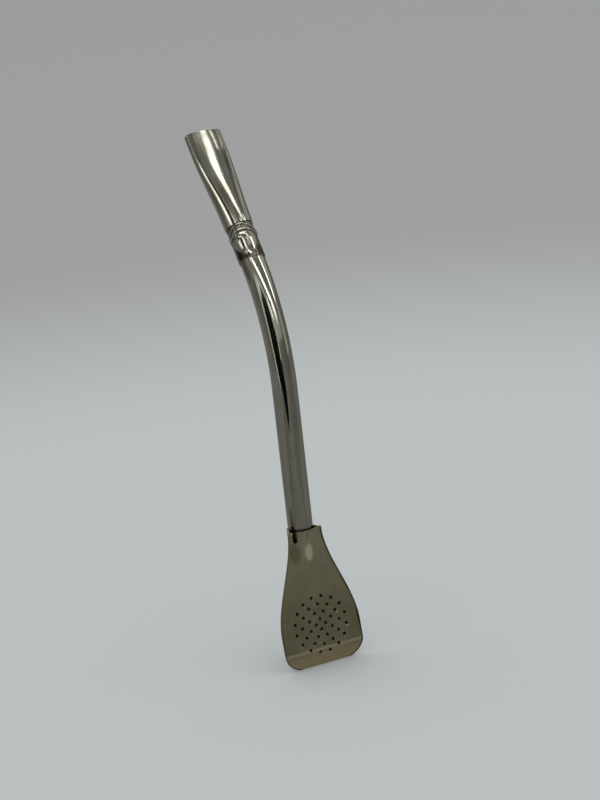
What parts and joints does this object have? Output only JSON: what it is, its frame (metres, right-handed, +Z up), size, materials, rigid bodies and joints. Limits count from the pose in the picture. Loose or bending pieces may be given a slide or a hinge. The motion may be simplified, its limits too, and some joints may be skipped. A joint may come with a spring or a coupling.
{
  "type": "bombilla",
  "caption": "Metal mate straw with a bent round stem, a flat flared mouthpiece above an ornamented collar, and a perforated spade filter that pulls off.",
  "frame": {"origin": "on the stem's axis, at the shoulder just above the filter", "axes": "+Z up the straight stem, -Y towards the filter's front, and the stem bends back towards +Y"},
  "size_m": [0.0276, 0.0513, 0.1667],
  "materials": {
    "polished_nickel_silver": "polished",
    "satin_nickel_silver": "satin",
    "tarnished_nickel_silver": "satin",
    "solder": "matte"
  },
  "bodies": {
    "stem": {"stem_tube": "polished_nickel_silver", "collar": "tarnished_nickel_silver", "upper_wire": "polished_nickel_silver", "lower_wire": "polished_nickel_silver", "front_shield": "polished_nickel_silver", "back_shield": "polished_nickel_silver", "collar_solder": "solder", "mouthpiece": "polished_nickel_silver"},
    "filter": {"filter_front": "satin_nickel_silver", "filter_back": "satin_nickel_silver", "filter_seam": "solder"}
  },
  "joints": [
    {"name": "stem_pull", "type": "slide", "parent": "filter", "child": "stem", "axis": [0, 0, 1], "range_m": [0, 0.008]}
  ]
}
